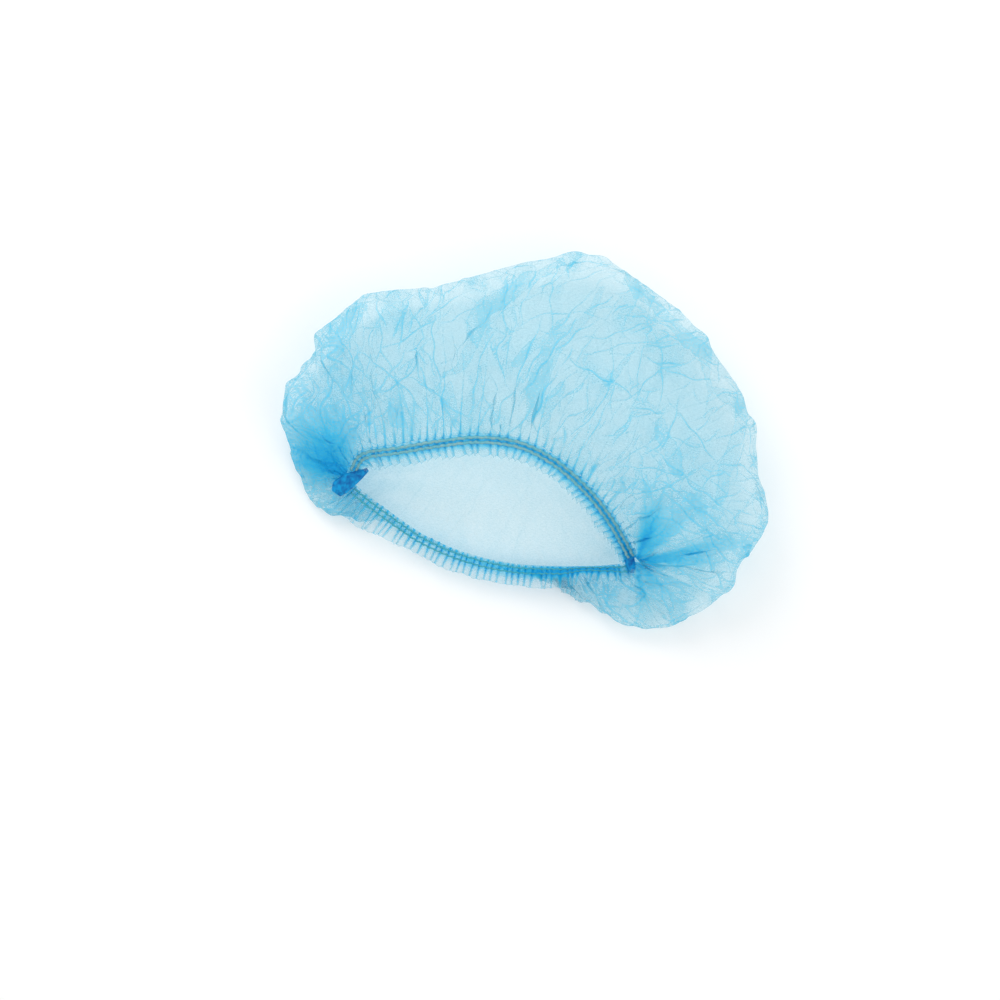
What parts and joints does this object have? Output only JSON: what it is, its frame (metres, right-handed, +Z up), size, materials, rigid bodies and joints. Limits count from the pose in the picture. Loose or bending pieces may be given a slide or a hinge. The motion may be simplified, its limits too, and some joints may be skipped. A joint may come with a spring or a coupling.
{
  "type": "disposable hairnet (bouffant cap) lying on its back",
  "caption": "Puffed bouffant cap of crinkled non-woven cloth with an elastic mouth, ruffled hems and welded end seams, lying mouth up.",
  "frame": {"origin": "on the surface that the cap lies on, under the middle of its bag seen from above", "axes": "+X along the mouth from the left end seam to the right one, -Y the way the mouth opens, +Z up from the surface"},
  "size_m": [0.3231, 0.2239, 0.1013],
  "materials": {
    "cloth": "thin crinkled spunbond non-woven, light blue and see-through",
    "frill": "gathered non-woven frill, deeper blue where it lies in folds",
    "elastic": "thin matt elastic thread seen through the cloth",
    "weld": "flattened welded cloth, glossy and deep blue"
  },
  "bodies": {
    "root": {"crown": "cloth", "hem_upper": "frill", "hem_lower": "frill", "elastic_upper_inner": "elastic", "elastic_upper_outer": "elastic", "elastic_lower_inner": "elastic", "elastic_lower_outer": "elastic", "end_seam_left": "weld", "end_seam_right": "weld"}
  },
  "joints": []
}
